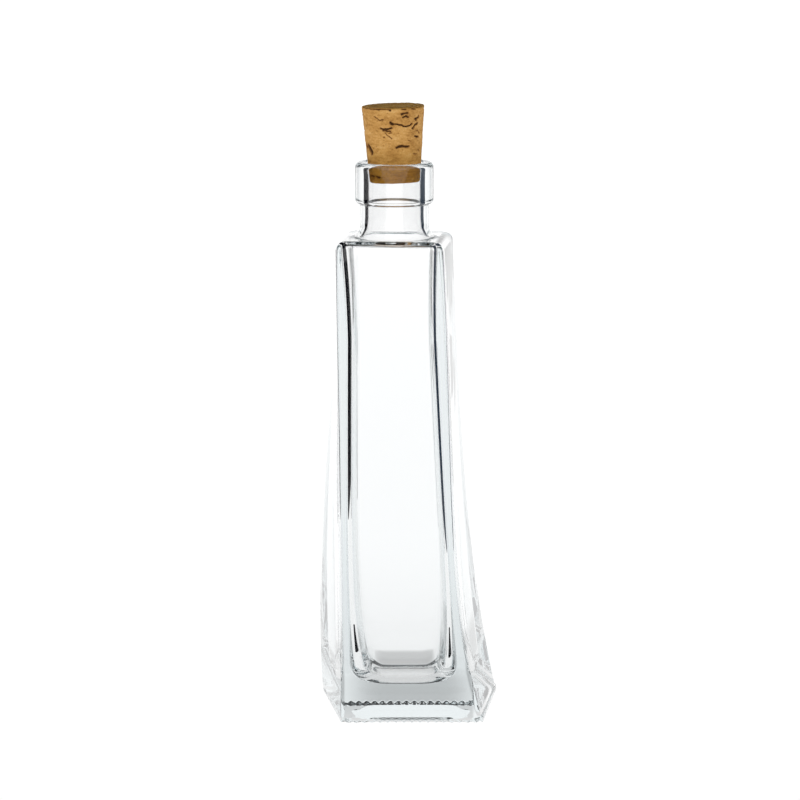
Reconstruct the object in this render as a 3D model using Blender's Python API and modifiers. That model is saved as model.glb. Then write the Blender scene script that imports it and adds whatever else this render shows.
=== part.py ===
"""Decorative bottle: a heavy four-sided glass bottle and the tapered cork that closes it.

Units are metres and +Z is up. The origin lies under the middle of the base, on the surface that the bottle stands on.
The narrow front face looks along -Y. The body leans: its foot lies to the right of the neck, and its section turns a
little on the way up, from a wide-backed foot to a square shoulder.
"""
import math

import bmesh
import bpy
from mathutils import Matrix, Vector

mm = 0.001

# Clearances and cutter lengths
cork_clearance = 0.3 * mm
cutter_overrun = 2.0 * mm
weld_distance = 0.001 * mm
least_radius = 0.3 * mm

# Glass body, outside
shoulder_z = 162.1 * mm
shoulder_front_width = 36.5 * mm
shoulder_back_width = 36.6 * mm
shoulder_depth = 38.0 * mm
base_front_width = 47.9 * mm
base_back_width = 60.4 * mm
base_depth = 58.0 * mm
front_bulge_power = 2
corner_radius = 1.6 * mm
heel_radius = 1.0 * mm
shoulder_radius = 3.0 * mm
front_late_flare_share = 0.7
front_late_flare_power = 6
back_flare_power = 1.07
base_turn = math.radians(0.7)
shoulder_turn = math.radians(-5.7)
turn_power = 3.6
foot_x = 0.9 * mm
foot_y = 0.0 * mm
lean_power = 4.4

# Push-up under the base: the bottle stands on the ring outside it
standing_ring_width = 8.0 * mm
push_up_height = 1.2 * mm
push_up_slope_width = 5.0 * mm
push_up_corner_radius = 9.0 * mm

# Hollow for the contents
floor_z = 11.4 * mm
shoulder_glass = 2.0 * mm
hollow_floor_width = 37.0 * mm
hollow_waist_width = 31.0 * mm
hollow_waist_z = 128.0 * mm
hollow_top_width = 33.2 * mm
hollow_foot_corner_radius = 15.0 * mm
hollow_left_radius = 5.0 * mm
hollow_right_radius = 3.4 * mm
hollow_floor_fillet = 6.5 * mm
hollow_ceiling_fillet = 1.4 * mm
hollow_top_x = -5.1 * mm
hollow_foot_x = -1.4 * mm
hollow_top_power = 2
hollow_round_power = 8
hollow_lean_power = 3

# Neck, all on one upright axis
neck_x = -4.7 * mm
neck_y = 0.0 * mm
neck_radius = 11.8 * mm
neck_fillet = 3.6 * mm
neck_sink = 1.0 * mm
band_radius = 13.3 * mm
band_height = 12.7 * mm
band_under_radius = 1.5 * mm
neck_height = 25.4 * mm
lip_radius = 1.7 * mm
mouth_edge_radius = 1.2 * mm
bore_flare_width = 4.2 * mm
bore_flare_height = 9.0 * mm

# Cork: a straight taper, seated part of its length in the mouth
cork_length = 25.7 * mm
cork_top_radius = 10.65 * mm
cork_foot_radius = 8.65 * mm
cork_seated_length = 6.6 * mm
cork_edge = 0.5 * mm
cork_tilt = math.radians(-1.4)

# Smoothness of the mesh
corner_steps = 6
fillet_steps = 5
body_steps = 22
turn_steps = 48
smooth_angle = math.radians(35)

# What follows from the sizes above
ceiling_z = shoulder_z - shoulder_glass
lip_z = shoulder_z + neck_height
cork_slope = (cork_top_radius - cork_foot_radius) / cork_length
cork_radius_at_lip = cork_foot_radius + cork_slope * cork_seated_length
mouth_radius = cork_radius_at_lip + cork_clearance
bore_radius = cork_foot_radius + cork_clearance
band_z = lip_z - band_height


def mix(start, end, share):
    """The value a share of the way from start to end."""
    return start + (end - start) * share


def quarter(steps):
    """Angles from 0 to a right angle."""
    return [math.pi / 2 * i / steps for i in range(steps + 1)]


def four_corners(front_width, back_width, front_reach, back_reach, turn, centre):
    """Corners of a section, anticlockwise from the front left one."""
    corners = (
        Vector((-front_width / 2, -front_reach)),
        Vector((front_width / 2, -front_reach)),
        Vector((back_width / 2, back_reach)),
        Vector((-back_width / 2, back_reach)),
    )
    return [Matrix.Rotation(turn, 2) @ corner + centre for corner in corners]


def inset_corners(corners, inset):
    """The corners with every side moved inwards by the inset."""
    moved = []
    for i, corner in enumerate(corners):
        before = (corner - corners[i - 1]).normalized()
        after = (corners[(i + 1) % len(corners)] - corner).normalized()
        spread = before.cross(after)
        moved.append(corner + (after - before) * (inset / spread))
    return moved


def rounded_outline(corners, radii):
    """Points round a section whose corners are arcs, one radius for each."""
    points = []
    for i, (corner, radius) in enumerate(zip(corners, radii)):
        before = (corner - corners[i - 1]).normalized()
        after = (corners[(i + 1) % len(corners)] - corner).normalized()
        turn = math.atan2(before.cross(after), before.dot(after))
        centre = corner + (after - before) * (radius / before.cross(after))
        start = math.atan2(-before.x, before.y)
        for step in range(corner_steps + 1):
            angle = start + turn * step / corner_steps
            points.append(centre + radius * Vector((math.cos(angle), math.sin(angle))))
    return points


def body_turn(drop):
    """Turn of the section about Z, from the shoulder (drop 0) to the base (drop 1)."""
    return mix(base_turn, shoulder_turn, (1 - drop) ** turn_power)


def body_corners(z):
    """Outside corners of the body at a height."""
    drop = (shoulder_z - z) / shoulder_z
    late = drop ** front_late_flare_power
    front_share = mix(drop, late, front_late_flare_share)
    lean = drop ** lean_power
    return four_corners(
        mix(shoulder_front_width, base_front_width, front_share),
        mix(shoulder_back_width, base_back_width, drop ** back_flare_power),
        mix(shoulder_depth, base_depth, 1 - (1 - drop) ** front_bulge_power) / 2,
        mix(shoulder_depth, base_depth, drop) / 2,
        body_turn(drop),
        Vector((mix(neck_x, foot_x, lean), mix(neck_y, foot_y, lean))),
    )


def body_ring(z, inset):
    """One ring of the body's outside, pulled in by the inset."""
    return [(p.x, p.y, z) for p in rounded_outline(inset_corners(body_corners(z), inset), 4 * [corner_radius])]


def body_rings():
    """Rings of the body's outside, from the standing face to the shoulder's flat top."""
    rings = []
    for angle in quarter(fillet_steps):
        rise = heel_radius * (1 - math.cos(angle))
        rings.append(body_ring(rise, heel_radius * (1 - math.sin(angle))))
    for step in range(1, body_steps):
        rings.append(body_ring(mix(heel_radius, shoulder_z - shoulder_radius, step / body_steps), 0))
    for angle in quarter(fillet_steps):
        rise = shoulder_radius * math.sin(angle)
        rings.append(body_ring(shoulder_z - shoulder_radius + rise, shoulder_radius * (1 - math.cos(angle))))
    return rings


def push_up_rings():
    """Rings of the cutter that hollows the underside, from below the base to its roof."""
    foot = body_corners(0)
    mouth = rounded_outline(inset_corners(foot, standing_ring_width), 4 * [push_up_corner_radius])
    roof_inset = standing_ring_width + push_up_slope_width
    roof = rounded_outline(inset_corners(foot, roof_inset), 4 * [push_up_corner_radius - push_up_slope_width])
    return [
        [(p.x, p.y, -cutter_overrun) for p in mouth],
        [(p.x, p.y, 0) for p in mouth],
        [(p.x, p.y, push_up_height) for p in roof],
    ]


def hollow_ring(z, inset):
    """One ring of the hollow, pulled in by the inset. Its corners are wider at the floor than above it."""
    below = max(0, (hollow_waist_z - z) / (hollow_waist_z - floor_z))
    above = max(0, (z - hollow_waist_z) / (ceiling_z - hollow_waist_z)) ** hollow_top_power
    drop = (ceiling_z - z) / (ceiling_z - floor_z)
    lean = drop ** hollow_lean_power
    width = mix(hollow_waist_width, hollow_floor_width, below) + (hollow_top_width - hollow_waist_width) * above
    centre = Vector((mix(hollow_top_x, hollow_foot_x, lean), mix(neck_y, foot_y, lean)))
    corners = four_corners(width, width, width / 2, width / 2, body_turn(drop), centre)
    radii = [
        max(mix(radius, hollow_foot_corner_radius, below ** hollow_round_power) - inset, least_radius)
        for radius in (hollow_left_radius, hollow_right_radius, hollow_right_radius, hollow_left_radius)
    ]
    return [(p.x, p.y, z) for p in rounded_outline(inset_corners(corners, inset), radii)]


def hollow_rings():
    """Rings of the hollow, from its floor to its ceiling."""
    rings = []
    for angle in quarter(fillet_steps):
        rise = hollow_floor_fillet * (1 - math.cos(angle))
        rings.append(hollow_ring(floor_z + rise, hollow_floor_fillet * (1 - math.sin(angle))))
    low = floor_z + hollow_floor_fillet
    high = ceiling_z - hollow_ceiling_fillet
    for step in range(1, body_steps):
        rings.append(hollow_ring(mix(low, high, step / body_steps), 0))
    for angle in quarter(fillet_steps):
        rise = hollow_ceiling_fillet * math.sin(angle)
        rings.append(hollow_ring(high + rise, hollow_ceiling_fillet * (1 - math.cos(angle))))
    return rings


def neck_profile():
    """Outside of the neck and its band, from the lip down, as radius and height."""
    points = [(0, lip_z), (band_radius - lip_radius, lip_z)]
    for angle in quarter(fillet_steps)[1:]:
        points.append((band_radius - lip_radius * (1 - math.sin(angle)), lip_z - lip_radius * (1 - math.cos(angle))))
    for angle in quarter(fillet_steps):
        points.append((band_radius - band_under_radius * (1 - math.cos(angle)), band_z - band_under_radius * math.sin(angle)))
    fillet_z = shoulder_z + neck_fillet
    for angle in quarter(fillet_steps):
        points.append((neck_radius + neck_fillet * (1 - math.cos(angle)), fillet_z - neck_fillet * math.sin(angle)))
    points.append((neck_radius + neck_fillet, shoulder_z - neck_sink))
    points.append((0, shoulder_z - neck_sink))
    return points


def bore_profile():
    """The mouth, tapered like the cork, and the way down into the hollow, as radius and height."""
    points = [(0, lip_z + cutter_overrun), (mouth_radius + mouth_edge_radius, lip_z + cutter_overrun)]
    for angle in quarter(fillet_steps):
        radius = mouth_radius + mouth_edge_radius * (1 - math.sin(angle))
        points.append((radius, lip_z - mouth_edge_radius * (1 - math.cos(angle))))
    points.append((bore_radius, lip_z - cork_seated_length - cork_clearance))
    flare_z = ceiling_z + bore_flare_height
    for angle in quarter(fillet_steps):
        radius = bore_radius + bore_flare_width * (1 - math.cos(angle))
        points.append((radius, flare_z - bore_flare_height * math.sin(angle)))
    points.append((bore_radius + bore_flare_width, ceiling_z - hollow_ceiling_fillet))
    points.append((0, ceiling_z - hollow_ceiling_fillet))
    return points


def cork_profile():
    """Side of the cork about its own axis, from the top down, with height 0 at the bottle's lip."""
    top = cork_length - cork_seated_length
    foot = -cork_seated_length
    return [
        (0, top),
        (cork_top_radius - cork_edge, top),
        (cork_top_radius - cork_slope * cork_edge, top - cork_edge),
        (cork_foot_radius + cork_slope * cork_edge, foot + cork_edge),
        (cork_foot_radius - cork_edge, foot),
        (0, foot),
    ]


def new_object(name, mesh, collection, material=None):
    """An object of the mesh, in the collection."""
    thing = bpy.data.objects.new(name, mesh)
    collection.objects.link(thing)
    if material:
        mesh.materials.append(material)
    return thing


def loft(name, rings, collection, material=None):
    """A closed solid through rings of equal point counts, listed from the lowest up."""
    builder = bmesh.new()
    rows = [[builder.verts.new(point) for point in ring] for ring in rings]
    count = len(rings[0])
    for lower, upper in zip(rows, rows[1:]):
        for i in range(count):
            j = (i + 1) % count
            builder.faces.new((lower[i], lower[j], upper[j], upper[i]))
    builder.faces.new(list(reversed(rows[0])))
    builder.faces.new(rows[-1])
    mesh = bpy.data.meshes.new(name)
    builder.to_mesh(mesh)
    builder.free()
    return new_object(name, mesh, collection, material)


def turned(name, profile, collection, material=None):
    """A solid turned about its own Z axis from a profile of radius and height that runs from the top down."""
    mesh = bpy.data.meshes.new(name)
    edges = [(i, i + 1) for i in range(len(profile) - 1)]
    mesh.from_pydata([(radius, 0, height) for radius, height in profile], edges, [])
    thing = new_object(name, mesh, collection, material)
    screw = thing.modifiers.new("turn", "SCREW")
    screw.steps = screw.render_steps = turn_steps
    screw.use_merge_vertices = True
    screw.merge_threshold = weld_distance
    return thing


def combine(target, tool, operation):
    """Joins the tool to the target, or cuts it away."""
    change = target.modifiers.new(tool.name, "BOOLEAN")
    change.operation = operation
    change.object = tool
    tool.hide_render = True
    tool.display_type = "WIRE"


def principled(name, colour, roughness, transmission=0.0, ior=1.5):
    """A plain material."""
    material = bpy.data.materials.new(name)
    material.use_nodes = True
    shader = material.node_tree.nodes["Principled BSDF"]
    shader.inputs["Base Color"].default_value = (*colour, 1)
    shader.inputs["Roughness"].default_value = roughness
    shader.inputs["Metallic"].default_value = 0
    shader.inputs["Transmission Weight"].default_value = transmission
    shader.inputs["IOR"].default_value = ior
    return material


def shade(thing):
    """Smooth round faces that keep their sharp edges."""
    thing.data.shade_smooth()
    thing.data.set_sharp_from_angle(angle=smooth_angle)


def build_bottle(parts, cutters):
    """The bottle: one piece of glass with a lofted body, a turned neck and a hollow that opens at the mouth."""
    glass = principled("clear_glass", (0.94, 0.96, 0.96), 0.02, transmission=1.0, ior=1.52)
    bottle = loft("glass_bottle", body_rings(), parts, glass)
    neck = turned("neck_outside", neck_profile(), cutters)
    bore = turned("bore", bore_profile(), cutters)
    for piece in (neck, bore):
        piece.location = (neck_x, neck_y, 0)
    combine(bottle, neck, "UNION")
    combine(bottle, loft("hollow", hollow_rings(), cutters), "DIFFERENCE")
    combine(bottle, bore, "DIFFERENCE")
    combine(bottle, loft("push_up", push_up_rings(), cutters), "DIFFERENCE")
    shade(bottle)


def build_cork(parts):
    """The cork: it stands a little crooked in the mouth and draws straight up."""
    cork_axis = bpy.data.objects.new("cork_axis", None)
    parts.objects.link(cork_axis)
    cork_axis.location = (neck_x, neck_y, lip_z)
    cork = turned("cork", cork_profile(), parts, principled("natural_cork", (0.62, 0.38, 0.17), 0.85))
    cork.parent = cork_axis
    cork.rotation_euler.y = cork_tilt
    shade(cork)


def main():
    for thing in list(bpy.data.objects):
        bpy.data.objects.remove(thing, do_unlink=True)
    parts = bpy.data.collections.new("decorative_bottle")
    cutters = bpy.data.collections.new("cutters")
    for collection in (parts, cutters):
        bpy.context.scene.collection.children.link(collection)
    build_bottle(parts, cutters)
    build_cork(parts)


main()
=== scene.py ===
"""Looks of the decorative bottle: one skin of clear glass, inside and out, and a natural cork with its pits.

Lengths are metres and +Z is up. The glass repeats the law of the CAD body with many more points, so that light bends
as it does in a moulded bottle, and adds fine grooves under its heel. The bottle stands on a white table in a white
room. Dark cards that the camera sees only in the glass draw the dark lines along its edges, and the top one also
shades the cork.
"""
import math
import random

import bpy
import numpy as np
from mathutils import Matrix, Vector, noise


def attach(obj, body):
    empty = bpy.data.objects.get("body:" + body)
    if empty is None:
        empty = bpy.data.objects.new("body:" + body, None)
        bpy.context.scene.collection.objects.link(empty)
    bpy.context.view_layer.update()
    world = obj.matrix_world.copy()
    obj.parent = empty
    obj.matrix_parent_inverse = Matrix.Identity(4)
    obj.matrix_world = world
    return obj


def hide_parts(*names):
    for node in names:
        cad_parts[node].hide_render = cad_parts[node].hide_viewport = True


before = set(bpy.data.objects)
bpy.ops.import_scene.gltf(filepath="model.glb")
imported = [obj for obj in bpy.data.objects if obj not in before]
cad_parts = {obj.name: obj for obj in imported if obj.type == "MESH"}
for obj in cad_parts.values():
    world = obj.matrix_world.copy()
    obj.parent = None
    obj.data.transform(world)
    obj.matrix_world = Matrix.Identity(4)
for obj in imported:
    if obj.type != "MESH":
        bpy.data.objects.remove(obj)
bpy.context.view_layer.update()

mm = 0.001

# Glass body, outside, as in the CAD, apart from a sharper heel and a foot that is tucked in a little in front
shoulder_z = 162.1 * mm
shoulder_front_width = 36.5 * mm
shoulder_back_width = 36.6 * mm
shoulder_depth = 38.0 * mm
base_front_width = 47.9 * mm
base_back_width = 60.4 * mm
base_depth = 58.0 * mm
front_bulge_power = 2
corner_radius = 1.6 * mm
heel_radius = 0.6 * mm
foot_tuck = 0.7 * mm
foot_tuck_height = 13 * mm
shoulder_radius = 3.0 * mm
front_late_flare_share = 0.7
front_late_flare_power = 6
back_flare_power = 1.07
base_turn = math.radians(0.7)
shoulder_turn = math.radians(-5.7)
turn_power = 3.6
foot_x = 0.9 * mm
foot_y = 0.0 * mm
lean_power = 4.4

# Push-up, and the grooves that rise outwards from the ring that the bottle stands on and open at its heel
standing_ring_width = 8.0 * mm
push_up_height = 1.2 * mm
push_up_slope_width = 5.0 * mm
push_up_slope_power = 1.5
push_up_corner_radius = 9.0 * mm
groove_count = 80
groove_height = 0.8 * mm
groove_length = 4.0 * mm
groove_top = 2.6 * mm
groove_power = 0.7

# Hollow
ceiling_z = shoulder_z - 2.0 * mm
floor_z = 11.4 * mm
hollow_floor_width = 37.0 * mm
hollow_waist_width = 31.0 * mm
hollow_waist_z = 128.0 * mm
hollow_top_width = 33.2 * mm
hollow_foot_corner_radius = 15.0 * mm
hollow_left_radius = 5.0 * mm
hollow_right_radius = 3.4 * mm
hollow_least_radius = 0.3 * mm
hollow_floor_fillet = 6.5 * mm
hollow_ceiling_fillet = 1.4 * mm
hollow_top_x = -5.1 * mm
hollow_foot_x = -1.4 * mm
hollow_top_power = 2
hollow_round_power = 8
hollow_lean_power = 3

# Neck
neck_x = -4.7 * mm
neck_y = 0.0 * mm
lip_z = shoulder_z + 25.4 * mm
neck_radius = 11.8 * mm
neck_fillet = 3.6 * mm
band_radius = 13.3 * mm
band_height = 12.7 * mm
band_under_radius = 1.5 * mm
lip_radius = 1.7 * mm
mouth_edge_radius = 1.2 * mm
bore_radius = 8.95 * mm
mouth_radius = 9.46 * mm
bore_flare_width = 4.2 * mm
bore_flare_height = 9.0 * mm
ring_gap = 0.3 * mm

# Cork
cork_length = 25.7 * mm
cork_top_radius = 10.65 * mm
cork_foot_radius = 8.65 * mm
cork_seated_length = 6.6 * mm
cork_edge = 0.5 * mm
cork_tilt = math.radians(-1.4)

# Relief of the cork in millimetres, with the waves to a millimetre and the fall, step and octaves of each noise
uneven_depth = 0.10
uneven_waves = 0.45
uneven_noise = (1.0, 2.0, 3)
grain_depth = 0.05
grain_waves = 1.7
grain_noise = (0.8, 2.1, 3)
relief_middle = 0.6
wander = 0.30
wander_waves = 0.9
mark_softness = 0.7
dark_pit_depth = 0.55
flat_end_share = 0.9

# Marks on the cork's side: width and depth in millimetres, then degrees from the front and millimetres above the lip
cork_cracks = [
    (0.22, 0.45, (-37, 16.1), (-31, 15.4), (-27, 14.9), (-19, 15.3)),
    (0.34, 0.80, (-74, 19.1), (-51, 18.9), (-32, 18.8), (-16, 18.9), (-7, 18.9)),
    (0.36, 0.95, (-7, 19.6), (-6, 18.3)),
    (0.18, 0.40, (-13, 19.0), (-10, 18.4)),
    (0.30, 0.60, (16, 18.6), (24, 18.5)),
    (0.36, 0.70, (16, 16.9), (22, 17.3), (29, 17.1)),
    (0.34, 0.70, (19, 15.9), (24, 16.3), (30, 15.8)),
    (0.30, 0.80, (-5, 13.9), (-2, 13.5), (4, 13.6), (11, 13.4), (17, 13.1), (27, 12.5), (32, 12.8), (39, 13.4)),
    (0.44, 0.90, (-6, 14.2), (0, 13.6)),
    (0.40, 0.80, (-25, 12.2), (-20, 11.8), (-14, 11.8), (-4, 12.2)),
    (0.30, 0.60, (-21, 11.5), (-14, 11.4), (-6, 11.1)),
    (0.20, 0.35, (-17, 10.8), (-15, 10.0), (-9, 9.4), (-4, 8.5)),
    (0.18, 0.35, (-10, 10.5), (-3, 10.7)),
    (0.24, 0.45, (-21, 9.4), (-18, 9.2)),
    (0.36, 0.80, (46, 15.0), (56, 15.2)),
    (0.34, 0.70, (57, 15.8), (50, 14.6)),
    (0.42, 0.85, (53, 13.5), (47, 12.9), (41, 11.9)),
    (0.36, 0.70, (47, 9.1), (59, 8.6)),
    (0.24, 0.50, (53, 11.1), (62, 9.9)),
    (0.42, 0.90, (32, 19.4), (41, 19.1), (54, 19.2), (67, 19.3)),
    (0.24, 0.45, (36, 18.6), (46, 18.3)),
    (0.50, 0.80, (5, 5.7), (11, 5.9), (17, 6.0), (24, 6.0), (31, 5.8)),
    (0.80, 1.00, (-64, 5.8), (-58, 4.7), (-54, 3.6)),
    (0.60, 0.85, (-80, 6.4), (-73, 5.2)),
    (0.24, 0.40, (-79, 12.1), (-74, 11.0)),
    (0.24, 0.45, (59, 4.5), (66, 3.9)),
    (0.22, 0.40, (46, 3.2), (54, 2.9)),
    (0.18, 0.35, (31, 7.8), (37, 7.4)),
    (0.30, 0.50, (-54, -4.0), (-46, -4.2)),
    (0.34, 0.55, (-39, -4.3), (-32, -4.5)),
]
hidden_crack_count = 46
pore_count = 260
pore_depth = 0.30
top_crack_count = 16
marks_seed = 11
top_marks_seed = 5
wander_seed = 1
longest_mark = 12
tallest_mark = 6

# Fineness of the meshes
ring_points = 480
least_arc_points = 14
body_steps = 48
standing_ring_steps = 16
hollow_steps = 60
arc_steps = 10
flare_steps = 16
cork_ring_points = 320
cork_rows = 200
cork_edge_steps = 6
cork_top_rows = 48
centre_share = 0.02
push_up_shares = (centre_share, 0.3, 0.6, 0.85, 1)
floor_shares = (0.8, 0.5, 0.2, centre_share)
cork_foot_shares = (centre_share, 0.25, 0.5, 0.75, 0.9)
quarters = (0.25, 0.5, 0.75)
thirds = (0.33, 0.67)

# Finishes: glass, then cork with its waves to a metre
glass_ior = 1.52
glass_tint = (0.60, 0.68, 0.70, 1)
glass_density = 12.5
glass_gloss = 0.15
broad_waves = 160
patch_waves = 620
fleck_waves = 2200
speck_waves = 3600
grain_stretch = (1, 1, 2.2)
cork_tones = (
    (0.36, (0.330, 0.152, 0.036)),
    (0.46, (0.510, 0.262, 0.071)),
    (0.54, (0.625, 0.342, 0.105)),
    (0.66, (0.745, 0.475, 0.190)),
)
# Painted light: the cork in the mouth is made brighter and yellower for the light that the glass keeps from it
seated_painted_light = (1.32, 1.15, 0.66, 1)
grip_top = lip_z + 1 * mm
grip_foot = lip_z - 2 * mm
foot_tint = (0.72, 0.68, 0.42, 1)
foot_tint_top = lip_z + 9 * mm
foot_tint_share = 0.5
crown_tint = (0.68, 0.70, 0.55, 1)
crown_foot = 0.8 * mm
crown_top = 0.2 * mm
speck_colour = (0.10, 0.045, 0.015, 1)
speck_share = 0.45
rim_colour = (0.24, 0.085, 0.018, 1)
rim_share = 0.75
pit_colour = (0.085, 0.038, 0.012, 1)
pit_power = 1.6
bump_strength = 0.5
bump_depth = 0.00015
black = (0.004, 0.004, 0.006)
navy = (0.02, 0.035, 0.06)

# Camera
camera_place = Vector((neck_x, -1860 * mm, 379.7 * mm))
camera_aim = Vector((neck_x + 1.9 * mm, 0, 106.1 * mm))
camera_lens = 248.9
sensor_width = 36

# Room, key light and table
room_light = 1.12
key_place = Vector((-0.15, -0.88, 0.75))
key_size = 0.9
key_power = 1.0
table_reach = 4.0

# Dark cards beside and over the view: how far off its middle, then how far before and behind what the camera aims at
card_side = 0.24
card_top = 0.36
card_below = 0.068
card_near = 0.35
card_far = 0.26
top_card_far = 0.60

# Dark cards over the table: in front of the bottle, and beside it by their left, right, near and far edges
desk_card_z = 2 * mm
desk_near = 0.12
desk_far = 0.80
desk_side = 0.60
front_card_top = 0.30
streak_z = 1 * mm
left_streak = (-104 * mm, -58 * mm, -24 * mm, 3 * mm)
right_streak = (50 * mm, 110 * mm, -14 * mm, 14 * mm)

# Shades on the table: the shadow behind the bottle, the line of contact, the patch under it and the wide shade beyond
shadow_depth = 0.45
shadow_side = 1 * mm
shadow_half_width = 8 * mm
shadow_side_fade = 1.6
shadow_middle = 48 * mm
shadow_half_length = 8 * mm
shadow_softness = 38 * mm
contact_shade = 0.97
contact_half_width = 23 * mm
contact_middle = 28.6 * mm
contact_half_length = 3.0 * mm
contact_softness = 1.5 * mm
under_shade = 0.34
under_half_width = 23 * mm
under_half_length = 27 * mm
wide_shade = 0.09
wide_near = 0.06
wide_far = 0.30


def mix(start, end, share):
    """The value a share of the way from start to end."""
    return start + (end - start) * share


def quarter(steps):
    """Angles from 0 to a right angle."""
    return [math.pi / 2 * i / steps for i in range(steps + 1)]


def rounding(radius, steps):
    """Points of a quarter arc between two faces that meet at a right angle: the distance of each from either face."""
    return [(radius * (1 - math.cos(angle)), radius * (1 - math.sin(angle))) for angle in quarter(steps)]


# Sections of the glass

def four_corners(front_width, back_width, front_reach, back_reach, turn, centre):
    """Corners of a section, anticlockwise from the front left one."""
    corners = np.array([
        (-front_width / 2, -front_reach),
        (front_width / 2, -front_reach),
        (back_width / 2, back_reach),
        (-back_width / 2, back_reach),
    ])
    cos, sin = math.cos(turn), math.sin(turn)
    return corners @ np.array([(cos, sin), (-sin, cos)]) + np.array(centre)


def side_directions(corners):
    """Unit directions of the sides that arrive at each corner and leave it."""
    before = corners - np.roll(corners, 1, axis=0)
    before /= np.linalg.norm(before, axis=1, keepdims=True)
    return before, np.roll(before, -1, axis=0)


def cross(a, b):
    return a[..., 0] * b[..., 1] - a[..., 1] * b[..., 0]


def inset_corners(corners, inset):
    """The corners with every side moved inwards by the inset."""
    before, after = side_directions(corners)
    return corners + (after - before) * (inset / cross(before, after))[:, None]


def rounded_outline(corners, radius):
    """Ring of points round a section with arcs for corners, of one radius or of four.

    Each arc takes its share of the points by length, but never fewer than least_arc_points."""
    before, after = side_directions(corners)
    spread = cross(before, after)
    turn = np.arctan2(spread, (before * after).sum(axis=1))
    radius = np.broadcast_to(radius, 4)
    tangent = radius * np.tan(turn / 2)
    arc_length = radius * turn
    side_length = np.linalg.norm(np.roll(corners, -1, axis=0) - corners, axis=1) - tangent - np.roll(tangent, -1)
    side_length = np.maximum(side_length, 0)
    whole = arc_length.sum() + side_length.sum()
    arc_share = np.maximum(arc_length / whole, least_arc_points / ring_points)
    side_share = side_length * (1 - arc_share.sum()) / max(side_length.sum(), 1e-9)
    points = np.empty((ring_points, 2))
    share = np.arange(ring_points) / ring_points
    reached = -side_share[0] / 2
    for i in range(5):
        side, corner = i % 4, (i + 1) % 4
        start = corners[side] + after[side] * tangent[side]
        on_side = (share >= reached - 1e-12) & (share < reached + side_share[side])
        along = (share[on_side] - reached) / max(side_share[side], 1e-12) * side_length[side]
        points[on_side] = start + after[side] * along[:, None]
        reached += side_share[side]
        on_arc = (share >= reached) & (share < reached + arc_share[corner])
        part = (share[on_arc] - reached) / arc_share[corner] * turn[corner]
        centre = corners[corner] + (after[corner] - before[corner]) * (radius[corner] / spread[corner])
        angle = math.atan2(-before[corner][0], before[corner][1]) + part
        points[on_arc] = centre + radius[corner] * np.stack((np.cos(angle), np.sin(angle)), axis=1)
        reached += arc_share[corner]
    return points


def circle(radius):
    """Ring of points round the neck's axis, from its front."""
    angle = -math.pi / 2 + 2 * math.pi * np.arange(ring_points) / ring_points
    return np.stack((neck_x + radius * np.cos(angle), neck_y + radius * np.sin(angle)), axis=1)


def at(points, z):
    """A ring of points at a height, which may differ from point to point."""
    return np.column_stack((points, np.broadcast_to(z, len(points))))


def body_turn(drop):
    """Turn of the section about Z, from the shoulder (drop 0) to the base (drop 1)."""
    return mix(base_turn, shoulder_turn, (1 - drop) ** turn_power)


def body_corners(z):
    """Outside corners of the body at a height."""
    drop = (shoulder_z - z) / shoulder_z
    front_share = mix(drop, drop ** front_late_flare_power, front_late_flare_share)
    lean = drop ** lean_power
    tuck = foot_tuck * max(0, 1 - z / foot_tuck_height) ** 2
    return four_corners(
        mix(shoulder_front_width, base_front_width, front_share),
        mix(shoulder_back_width, base_back_width, drop ** back_flare_power),
        mix(shoulder_depth, base_depth, 1 - (1 - drop) ** front_bulge_power) / 2 - tuck,
        mix(shoulder_depth, base_depth, drop) / 2,
        body_turn(drop),
        (mix(neck_x, foot_x, lean), mix(neck_y, foot_y, lean)),
    )


def body_ring(z, inset=0):
    """One ring of the body's outside, pulled in by the inset."""
    return at(rounded_outline(inset_corners(body_corners(z), inset), corner_radius), z)


def hollow_ring(z, inset=0):
    """One ring of the hollow, pulled in by the inset: all but round at the floor and four-sided above it."""
    below = max(0, (hollow_waist_z - z) / (hollow_waist_z - floor_z))
    above = max(0, (z - hollow_waist_z) / (ceiling_z - hollow_waist_z)) ** hollow_top_power
    drop = (ceiling_z - z) / (ceiling_z - floor_z)
    lean = drop ** hollow_lean_power
    width = mix(hollow_waist_width, hollow_floor_width, below)
    width += (hollow_top_width - hollow_waist_width) * above
    centre = (mix(hollow_top_x, hollow_foot_x, lean), mix(neck_y, foot_y, lean))
    corners = four_corners(width, width, width / 2, width / 2, body_turn(drop), centre)
    radius = np.array([hollow_left_radius, hollow_right_radius, hollow_right_radius, hollow_left_radius])
    radius = mix(radius, hollow_foot_corner_radius, below ** hollow_round_power)
    radius = np.maximum(radius - inset, hollow_least_radius)
    return at(rounded_outline(inset_corners(corners, inset), radius), z)


# The rings of the glass, in order from the middle of the push-up to the middle of the hollow's floor

def underside_rings():
    """The push-up's roof and slope, then the ring that the bottle stands on, in whose edge the grooves rise."""
    foot = body_corners(0)
    roof = rounded_outline(inset_corners(foot, standing_ring_width + push_up_slope_width),
                           push_up_corner_radius - push_up_slope_width)
    centre = roof.mean(axis=0)
    rings = [at(centre + (roof - centre) * share, push_up_height) for share in push_up_shares]
    for share in quarters:
        left = push_up_slope_width * (1 - share)
        outline = rounded_outline(inset_corners(foot, standing_ring_width + left), push_up_corner_radius - left)
        rings.append(at(outline, push_up_height * (1 - share) ** push_up_slope_power))
    for step in range(standing_ring_steps + 1):
        share = step / standing_ring_steps
        inset = mix(standing_ring_width, heel_radius, share)
        radius = mix(push_up_corner_radius, corner_radius, share)
        outline = rounded_outline(inset_corners(foot, inset), radius)
        rings.append(at(outline, groove_roof(outline) * max(0, 1 - (inset - heel_radius) / groove_length)))
    return rings


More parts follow.
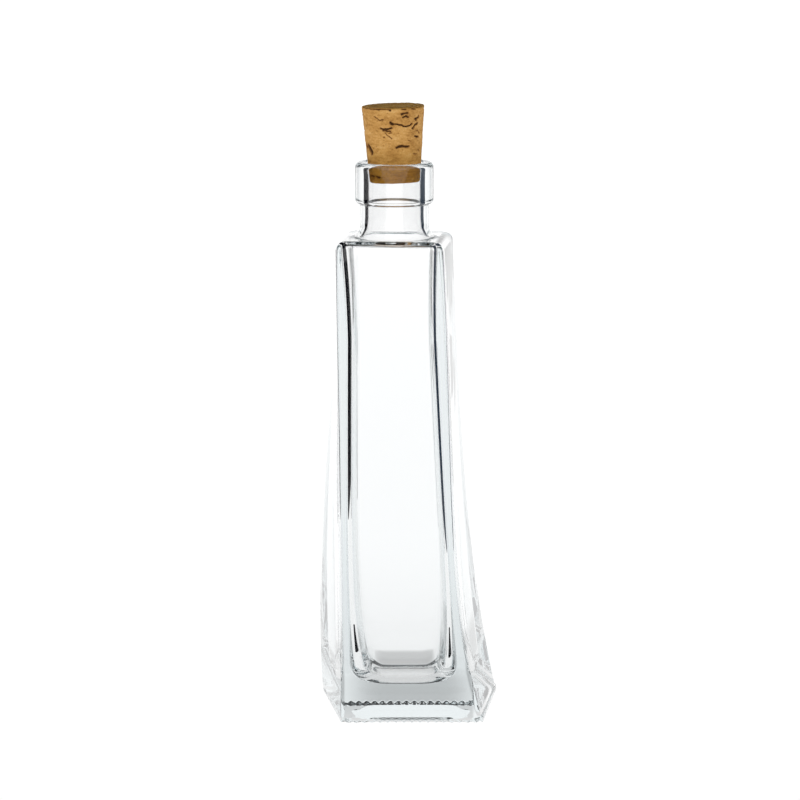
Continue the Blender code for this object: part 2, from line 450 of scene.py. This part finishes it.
def groove_roof(outline):
    """Height of the grooves' roofs where they open at the heel, at each point of an outline."""
    length = np.linalg.norm(np.diff(outline, axis=0, append=outline[:1]), axis=1)
    phase = 2 * math.pi * groove_count * (np.cumsum(length) - length) / length.sum()
    return groove_height * (0.5 - 0.5 * np.cos(phase)) ** groove_power


def outside_rings():
    """The heel, at which the grooves open, the body and the shoulder's round edge."""
    heights = rounding(heel_radius, arc_steps)[1:]
    heights += [(mix(heel_radius, groove_top, share), 0) for share in thirds]
    rings = []
    for z, inset in heights:
        outline = rounded_outline(inset_corners(body_corners(0), inset), corner_radius)
        rings.append(at(outline, z + groove_roof(outline) * (1 - z / groove_top)))
    for step in range(body_steps):
        rings.append(body_ring(mix(groove_top, shoulder_z - shoulder_radius, step / body_steps)))
    for inset, below in rounding(shoulder_radius, arc_steps):
        rings.append(body_ring(shoulder_z - below, inset))
    return rings


def neck_rings(edge):
    """The shoulder's top, the neck, its band and the lip, from the shoulder's edge up."""
    foot = circle(neck_radius + neck_fillet)
    rings = [at(mix(edge[:, :2], foot, share), shoulder_z) for share in quarters]
    for above, out in rounding(neck_fillet, arc_steps):
        rings.append(at(circle(neck_radius + out), shoulder_z + above))
    band_z = lip_z - band_height
    profile = [(neck_radius, band_z - band_under_radius - ring_gap)]
    for angle in quarter(arc_steps):
        radius = band_radius - band_under_radius * (1 - math.sin(angle))
        profile.append((radius, band_z - band_under_radius * math.cos(angle)))
    profile.append((band_radius, mix(band_z, lip_z, 0.5)))
    profile += [(band_radius - inset, lip_z - below) for inset, below in rounding(lip_radius, arc_steps)]
    return rings + [at(circle(radius), z) for radius, z in profile]


def bore_rings():
    """The mouth's round edge, the bore and its flare into the hollow, from the lip down."""
    profile = [(mouth_radius + out, lip_z - below) for below, out in rounding(mouth_edge_radius, arc_steps)]
    profile.append((mix(mouth_radius, bore_radius, 0.5), lip_z - mix(mouth_edge_radius, cork_seated_length, 0.5)))
    profile.append((bore_radius, lip_z - cork_seated_length - ring_gap))
    flare_z = ceiling_z + bore_flare_height
    profile.append((bore_radius, mix(flare_z, lip_z - cork_seated_length, 0.5)))
    for angle in quarter(flare_steps):
        radius = bore_radius + bore_flare_width * (1 - math.cos(angle))
        profile.append((radius, flare_z - bore_flare_height * math.sin(angle)))
    return [at(circle(radius), z) for radius, z in profile]


def inside_rings(mouth):
    """The hollow from its ceiling to its floor."""
    edge = hollow_ring(ceiling_z, hollow_ceiling_fillet)
    rings = [at(mix(mouth[:, :2], edge[:, :2], share), ceiling_z) for share in thirds]
    for inset, below in reversed(rounding(hollow_ceiling_fillet, arc_steps)):
        rings.append(hollow_ring(ceiling_z - below, inset))
    low, high = floor_z + hollow_floor_fillet, ceiling_z - hollow_ceiling_fillet
    for step in range(1, hollow_steps):
        rings.append(hollow_ring(mix(high, low, step / hollow_steps)))
    for above, inset in reversed(rounding(hollow_floor_fillet, arc_steps)):
        rings.append(hollow_ring(floor_z + above, inset))
    floor = rings[-1]
    centre = floor.mean(axis=0)
    return rings + [centre + (floor - centre) * share for share in floor_shares]


def glass_rings():
    """All the rings of the glass, one after the other."""
    rings = underside_rings() + outside_rings()
    rings += neck_rings(rings[-1])
    rings += bore_rings()
    return rings + inside_rings(rings[-1])


def mesh_of(name, vertices, faces):
    """A smooth mesh object."""
    mesh = bpy.data.meshes.new(name)
    mesh.from_pydata([tuple(v) for v in vertices], [], faces)
    mesh.validate()
    mesh.shade_smooth()
    piece = bpy.data.objects.new(name, mesh)
    bpy.context.scene.collection.objects.link(piece)
    return piece


def skin(name, rings):
    """One closed skin through the rings, its two ends closed."""
    count = len(rings[0])
    i = np.arange(count)
    j = (i + 1) % count
    faces = []
    for row in range(len(rings) - 1):
        low, high = row * count, (row + 1) * count
        faces += np.stack((low + i, low + j, high + j, high + i), axis=1).tolist()
    faces.append(list(range(count - 1, -1, -1)))
    last = (len(rings) - 1) * count
    faces.append(list(range(last, last + count)))
    return mesh_of(name, np.concatenate(rings), faces)


# The cork

def scattered_marks():
    """Cracks for the side that the photograph doesn't show and pores all round, the same at every run."""
    draw = random.Random(marks_seed)
    marks = []
    for _ in range(hidden_crack_count):
        angle, height = draw.uniform(76, 270), draw.uniform(-5.2, 18.6)
        path = [(angle, height)]
        for _ in range(draw.randint(1, 5)):
            angle, height = angle + draw.uniform(3, 9), min(height + draw.uniform(-0.8, 0.8), 19.0)
            path.append((angle, height))
        marks.append((draw.uniform(0.18, 0.36), draw.uniform(0.35, 0.7), *path))
    for _ in range(pore_count):
        angle, height = draw.uniform(0, 360), draw.uniform(-5.8, 19.2)
        reach = draw.uniform(0, 2.5)
        width, deep = draw.uniform(0.10, 0.20), draw.uniform(0.3, 1) * pore_depth
        marks.append((width, deep, (angle, height), (angle + reach, height + 0.1)))
    return marks


def mark_depth(across, up, path, width, depth):
    """Depth of one mark at each point, all in millimetres: deepest along its path, gone a little way off it."""
    nearest = np.full(across.shape, 1e9)
    for (x0, y0), (x1, y1) in zip(path, path[1:]):
        dx, dy = x1 - x0, y1 - y0
        along = np.clip(((across - x0) * dx + (up - y0) * dy) / max(dx * dx + dy * dy, 1e-9), 0, 1)
        nearest = np.minimum(nearest, (across - x0 - along * dx) ** 2 + (up - y0 - along * dy) ** 2)
    return depth * np.exp(-nearest / (mark_softness * width) ** 2)


def side_marks(across, up, girth):
    """Depth of all the side's marks at points given in millimetres round the cork and above the lip."""
    depth = np.zeros(across.shape)
    for width, deep, *path in cork_cracks + scattered_marks():
        path = [(girth * angle / 360, height) for angle, height in path]
        wrapped = (across - path[0][0] + girth / 2) % girth - girth / 2 + path[0][0]
        near = (np.abs(wrapped - path[0][0]) < longest_mark) & (np.abs(up - path[0][1]) < tallest_mark)
        depth[near] = np.maximum(depth[near], mark_depth(wrapped[near], up[near], path, width, deep))
    return depth


def top_marks(x, y, radius):
    """Depth of the cracks of the cork's flat top, in millimetres."""
    draw = random.Random(top_marks_seed)
    depth = np.zeros(x.shape)
    for _ in range(top_crack_count):
        place, way = draw.uniform(0, 2 * math.pi), draw.uniform(-0.5, 0.5)
        px, py = [draw.uniform(0.1, 0.9) * radius * part(place) for part in (math.cos, math.sin)]
        path = [(px, py)]
        for _ in range(draw.randint(1, 3)):
            px, py = px + draw.uniform(0.5, 1.6) * math.cos(way), py + draw.uniform(0.5, 1.6) * math.sin(way)
            way += draw.uniform(-0.6, 0.6)
            path.append((px, py))
        depth = np.maximum(depth, mark_depth(x, y, path, draw.uniform(0.14, 0.3), draw.uniform(0.2, 0.5)))
    return depth


def cork_profile():
    """Rows of the cork about its own axis from the middle of its foot to the middle of its top.

    Each row is a radius and a height above the lip, and the two parts of the way that its surface faces."""
    top, foot = cork_length - cork_seated_length, -cork_seated_length
    rows = [(share * (cork_foot_radius - cork_edge), foot, 0, -1) for share in cork_foot_shares]
    for angle in quarter(cork_edge_steps):
        out, down = math.sin(angle), math.cos(angle)
        rows.append((cork_foot_radius - cork_edge * (1 - out), foot + cork_edge * (1 - down), out, -down))
    for step in range(1, cork_rows):
        share = step / cork_rows
        radius = mix(cork_foot_radius, cork_top_radius, share)
        rows.append((radius, mix(foot + cork_edge, top - cork_edge, share), 1, 0))
    for angle in quarter(cork_edge_steps):
        out, up = math.cos(angle), math.sin(angle)
        rows.append((cork_top_radius - cork_edge * (1 - out), top - cork_edge * (1 - up), out, up))
    for step in range(1, cork_top_rows):
        share = mix(1, centre_share, step / (cork_top_rows - 1))
        rows.append(((cork_top_radius - cork_edge) * share, top, 0, 1))
    return np.array(rows).T


def cork_skin():
    """Rings of the cork, standing a little crooked in the mouth, and how deep in a pit each point lies."""
    radius, height, out, up = (row[:, None] for row in cork_profile())
    turn = 2 * math.pi * np.arange(cork_ring_points) / cork_ring_points
    turn = np.broadcast_to(turn, (len(radius), cork_ring_points))
    x, y, z = radius * np.sin(turn), -radius * np.cos(turn), np.broadcast_to(height, turn.shape)
    places = [Vector(place) / mm for place in np.stack((x, y, z), axis=-1).reshape(-1, 3)]
    noise.seed_set(wander_seed)
    drift = np.array([noise.noise_vector(place * wander_waves) for place in places])
    drift = drift.reshape(*turn.shape, 3) * wander
    uneven = np.array([noise.fractal(place * uneven_waves, *uneven_noise) for place in places]).reshape(turn.shape)
    grain = np.array([noise.fractal(place * grain_waves, *grain_noise) for place in places]).reshape(turn.shape)
    girth = 2 * math.pi * (cork_top_radius + cork_foot_radius) / 2 / mm
    sides = side_marks(turn / (2 * math.pi) * girth + drift[..., 0], z / mm + drift[..., 1], girth)
    tops = top_marks(x / mm + drift[..., 0], y / mm + drift[..., 1], cork_top_radius / mm)
    marks = np.where(up > flat_end_share, tops, np.where(up < -flat_end_share, 0, sides))
    depth = marks + uneven_depth * np.clip(relief_middle + uneven, 0, 2)
    depth = (depth + grain_depth * np.clip(relief_middle + grain, 0, 2)) * mm
    reach = radius - depth * out
    x, y, z = reach * np.sin(turn), -reach * np.cos(turn), z - depth * up
    lean_x = x * math.cos(cork_tilt) + z * math.sin(cork_tilt)
    lean_z = z * math.cos(cork_tilt) - x * math.sin(cork_tilt)
    points = np.stack((neck_x + lean_x, neck_y + y, lip_z + lean_z), axis=-1)
    return list(points), np.clip(marks / dark_pit_depth, 0, 1)


# Materials

class Value:
    """A number on a shader socket, so that maths on it reads as maths."""

    def __init__(self, shader, socket):
        self.shader = shader
        self.socket = socket

    def math(self, operation, other, swapped=False):
        pair = (other, self) if swapped else (self, other)
        return self.shader.add("ShaderNodeMath", {"operation": operation}, dict(enumerate(pair)))

    def __add__(self, other):
        return self.math("ADD", other)

    def __sub__(self, other):
        return self.math("SUBTRACT", other)

    def __rsub__(self, other):
        return self.math("SUBTRACT", other, swapped=True)

    def __mul__(self, other):
        return self.math("MULTIPLY", other)

    def __pow__(self, other):
        return self.math("POWER", other)

    def at_least(self, other):
        return self.math("MAXIMUM", other)

    def past(self, middle, half_width):
        """How far it lies outside a strip about the middle, and below 0 inside it."""
        return (self - middle).math("ABSOLUTE", 0) - half_width

    __radd__ = __add__
    __rmul__ = __mul__


class Finish:
    """A material whose nodes are added by one method."""

    def __init__(self, name):
        self.material = bpy.data.materials.new(name)
        self.material.use_nodes = True
        self.tree = self.material.node_tree
        self.surface = self.tree.nodes["Principled BSDF"]

    def set(self, node, name, value):
        socket = node.inputs[name]
        if isinstance(value, Value):
            self.tree.links.new(value.socket, socket)
        else:
            socket.default_value = value

    def add(self, kind, settings=None, inputs=None, output=0):
        """Adds a node: its settings first, then the values or links of its sockets."""
        node = self.tree.nodes.new(kind)
        for name, value in (settings or {}).items():
            if name == "stops":
                while len(node.color_ramp.elements) < len(value):
                    node.color_ramp.elements.new(1)
                for element, (place, colour) in zip(node.color_ramp.elements, value):
                    element.position, element.color = place, (*colour, 1)
            else:
                setattr(node, name, value)
        for name, value in (inputs or {}).items():
            self.set(node, name, value)
        return Value(self, node.outputs[output])

    def part_of(self, place, axis):
        return self.add("ShaderNodeSeparateXYZ", inputs={"Vector": place}, output=axis)

    def noise(self, place, waves):
        """Fine noise about 0.5, with so many waves to a metre."""
        return self.add("ShaderNodeTexNoise", inputs={
            "Vector": place, "Scale": waves, "Detail": 5.0, "Roughness": 0.6})

    def ramp(self, value, stops):
        return self.add("ShaderNodeValToRGB", {"stops": stops}, {0: value})

    def fade(self, value, low, high, start, end, ease="SMOOTHSTEP"):
        """A number that goes from start to end while the value goes from low to high."""
        return self.add("ShaderNodeMapRange", {"interpolation_type": ease}, {
            "Value": value, "From Min": low, "From Max": high, "To Min": start, "To Max": end})

    def blend(self, share, first, second, way="MIX"):
        """Two colours mixed by a share."""
        return self.add("ShaderNodeMix", {"data_type": "RGBA", "blend_type": way}, {0: share, 6: first, 7: second}, 2)

    def principled(self, **inputs):
        for name, value in inputs.items():
            self.set(self.surface, name.replace("_", " "), value)
        return self.material


def clear_glass():
    """Polished soda glass, faintly grey-green where it is thick."""
    glass = Finish("clear_glass")
    glass.principled(Base_Color=(1, 1, 1, 1), Roughness=0.0, IOR=glass_ior, Transmission_Weight=1.0,
                     Specular_IOR_Level=glass_gloss)
    absorb = glass.add("ShaderNodeVolumeAbsorption", inputs={"Color": glass_tint, "Density": glass_density})
    output = glass.tree.nodes["Material Output"]
    glass.tree.links.new(absorb.socket, output.inputs["Volume"])
    return glass.material


def natural_cork():
    """Natural cork: mottled tan, fine specks, dark pits, and painted light that brightens and yellows it in the
    mouth.
    """
    cork = Finish("natural_cork")
    place = cork.add("ShaderNodeTexCoord", output="Object")
    height = cork.part_of(place, "Z")
    laid = cork.add("ShaderNodeMapping", inputs={"Vector": place, "Scale": grain_stretch})
    broad = cork.noise(laid, broad_waves)
    patch = cork.noise(laid, patch_waves)
    fleck = cork.noise(place, fleck_waves)
    tone = cork.ramp(0.40 * broad + 0.35 * patch + 0.25 * fleck, cork_tones)
    # Painted light: brighter and yellower below the lip, for the light that the glass keeps from the seated cork
    grip = cork.fade(height, grip_foot, grip_top, 1.0, 0.0)
    tone = cork.blend(grip, tone, seated_painted_light, "MULTIPLY")
    foot = cork.fade(height, lip_z, foot_tint_top, foot_tint_share, 0.0)
    tone = cork.blend(foot, tone, foot_tint, "MULTIPLY")
    top_z = lip_z + cork_length - cork_seated_length
    crown = cork.fade(height, top_z - crown_foot, top_z - crown_top, 0.0, 1.0)
    tone = cork.blend(crown, tone, crown_tint, "MULTIPLY")
    speck = cork.ramp(cork.noise(place, speck_waves), ((0.62, (0, 0, 0)), (0.70, (1, 1, 1))))
    tone = cork.blend(speck_share * speck, tone, speck_colour)
    pit = cork.add("ShaderNodeAttribute", {"attribute_name": "pit"}, output="Fac")
    rim = cork.ramp(pit, ((0.05, (0, 0, 0)), (0.45, (1, 1, 1))))
    rusty = cork.blend(rim_share * rim, tone, rim_colour)
    colour = cork.blend(pit ** pit_power, rusty, pit_colour)
    relief = cork.add("ShaderNodeBump", inputs={
        "Strength": bump_strength, "Distance": bump_depth, "Height": patch + fleck})
    return cork.principled(Base_Color=colour, Roughness=0.82, Specular_IOR_Level=0.12, Normal=relief)


def dark_card(name, colour):
    """A matt finish that gives back hardly any light."""
    card = Finish(name)
    return card.principled(Base_Color=(*colour, 1), Roughness=1.0, Specular_IOR_Level=0.0)


def white_table():
    """An evenly bright table, with a shadow behind the bottle, a dark line of contact and two fainter shades."""
    table = Finish("white_table")
    place = table.add("ShaderNodeTexCoord", output="Object")
    x, y = table.part_of(place, "X"), table.part_of(place, "Y")
    across = shadow_side_fade * x.past(shadow_side, shadow_half_width).at_least(0)
    along = y.past(shadow_middle, shadow_half_length).at_least(0)
    reach = (across ** 2 + along ** 2) ** 0.5
    shade = table.fade(reach, 0.0, shadow_softness, shadow_depth, 0.0, "SMOOTHERSTEP")
    for half_width, middle, half_length, darkness in (
            (contact_half_width, contact_middle, contact_half_length, contact_shade),
            (under_half_width, 0, under_half_length, under_shade)):
        outside = x.past(0, half_width).at_least(y.past(middle, half_length))
        shade = shade.at_least(table.fade(outside, -contact_softness, 0.0, darkness, 0.0))
    shade = shade.at_least(table.fade(y, wide_near, wide_far, wide_shade, 0.0))
    tone = table.blend(shade, (1, 1, 1, 1), (0, 0, 0, 1))
    return table.principled(Base_Color=(0, 0, 0, 1), Roughness=1.0, Specular_IOR_Level=0.0,
                            Emission_Color=tone, Emission_Strength=room_light)


def white_room():
    """White all round, as bright as the table, so that no horizon shows."""
    room = bpy.data.worlds.new("white_room")
    room.use_nodes = True
    sky = room.node_tree.nodes["Background"]
    sky.inputs["Color"].default_value = (1, 1, 1, 1)
    sky.inputs["Strength"].default_value = room_light
    return room


# Pieces

def make_bottle():
    bottle = skin("bottle_glass", glass_rings())
    bottle.data.materials.append(clear_glass())
    weigh = bottle.modifiers.new("flat faces stay flat", "WEIGHTED_NORMAL")
    weigh.weight = 50
    weigh.keep_sharp = True
    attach(bottle, "bottle")
    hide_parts("glass_bottle")


def make_cork():
    rings, pits = cork_skin()
    cork = skin("cork_stopper", rings)
    cork.data.attributes.new("pit", "FLOAT", "POINT").data.foreach_set("value", pits.ravel())
    cork.data.materials.append(natural_cork())
    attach(cork, "cork")
    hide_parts("cork")


# Studio

def card(name, corners, material, parent=None):
    """A flat sheet of the studio."""
    sheet = mesh_of(name, corners, [list(range(len(corners)))])
    sheet.data.materials.append(material)
    sheet.parent = parent
    return sheet


def make_camera():
    """The camera at the photograph's angle."""
    data = bpy.data.cameras.new("camera")
    data.lens, data.sensor_width = camera_lens, sensor_width
    data.clip_start, data.clip_end = 0.05, 50
    camera = bpy.data.objects.new("camera", data)
    camera.location = camera_place
    camera.rotation_mode = "QUATERNION"
    camera.rotation_quaternion = (camera_aim - camera_place).to_track_quat("-Z", "Y")
    bpy.context.scene.collection.objects.link(camera)
    bpy.context.scene.camera = camera
    return camera


def make_table():
    reach = table_reach
    card("table", [(-reach, -reach, 0), (reach, -reach, 0), (reach, reach, 0), (-reach, reach, 0)], white_table())


def cards_about_view():
    """Corners of the cards beside and over the view, in the camera's own axes."""
    distance = (camera_aim - camera_place).length
    near, far, top_far = -(distance - card_near), -(distance + card_far), -(distance + top_card_far)
    left, right, low, high = -card_side, card_side, -card_below, card_top
    return {
        "left_card": [(left, low, near), (left, low, far), (left, high, far), (left, high, near)],
        "right_card": [(right, low, near), (right, low, far), (right, high, far), (right, high, near)],
        "top_card": [(left, high, near), (right, high, near), (right, high, top_far), (left, high, top_far)],
    }


def cards_over_table():
    """Corners of the cards that lie over the table and stand at its front, in the scene's axes."""
    corners = {}
    for name, (y0, z0, y1, z1) in {
            "desk_card": (-desk_near, desk_card_z, -desk_far, desk_card_z),
            "front_card": (-desk_far, desk_card_z, -desk_far, front_card_top)}.items():
        corners[name] = [(-desk_side, y0, z0), (desk_side, y0, z0), (desk_side, y1, z1), (-desk_side, y1, z1)]
    for name, (x0, x1, y0, y1) in {"left_streak_card": left_streak, "right_streak_card": right_streak}.items():
        corners[name] = [(x0, y0, streak_z), (x1, y0, streak_z), (x1, y1, streak_z), (x0, y1, streak_z)]
    return corners


def make_cards(camera):
    """Dark cards that turn with the camera, which sees them only in the glass or through it."""
    black_card, navy_card = dark_card("black_card", black), dark_card("navy_card", navy)
    turn_back = camera.rotation_quaternion.inverted()
    cards = cards_about_view()
    for name, corners in cards_over_table().items():
        cards[name] = [turn_back @ (Vector(corner) - camera_place) for corner in corners]
    for name, corners in cards.items():
        sheet = card(name, corners, navy_card if name == "right_card" else black_card, camera)
        sheet.visible_camera = False
        sheet.visible_diffuse = name == "top_card"
        sheet.visible_transmission = name not in ("desk_card", "front_card")


def make_key_light():
    """A weak soft light from the front left that models the cork, unseen in the glass."""
    lamp = bpy.data.lights.new("key", "AREA")
    lamp.energy, lamp.size = key_power, key_size
    key = bpy.data.objects.new("key", lamp)
    key.location = key_place
    key.visible_glossy = key.visible_transmission = False
    key.rotation_mode = "QUATERNION"
    key.rotation_quaternion = (Vector((neck_x, 0, lip_z)) - key_place).to_track_quat("-Z", "Y")
    bpy.context.scene.collection.objects.link(key)


def make_studio():
    camera = make_camera()
    make_table()
    make_cards(camera)
    make_key_light()
    scene = bpy.context.scene
    scene.world = white_room()
    scene.view_settings.view_transform = "Standard"
    scene.view_settings.look = "None"
    scene.cycles.max_bounces = 32
    scene.cycles.transmission_bounces = 32
    scene.cycles.glossy_bounces = 16
    scene.cycles.diffuse_bounces = 4


make_bottle()
make_cork()
make_studio()
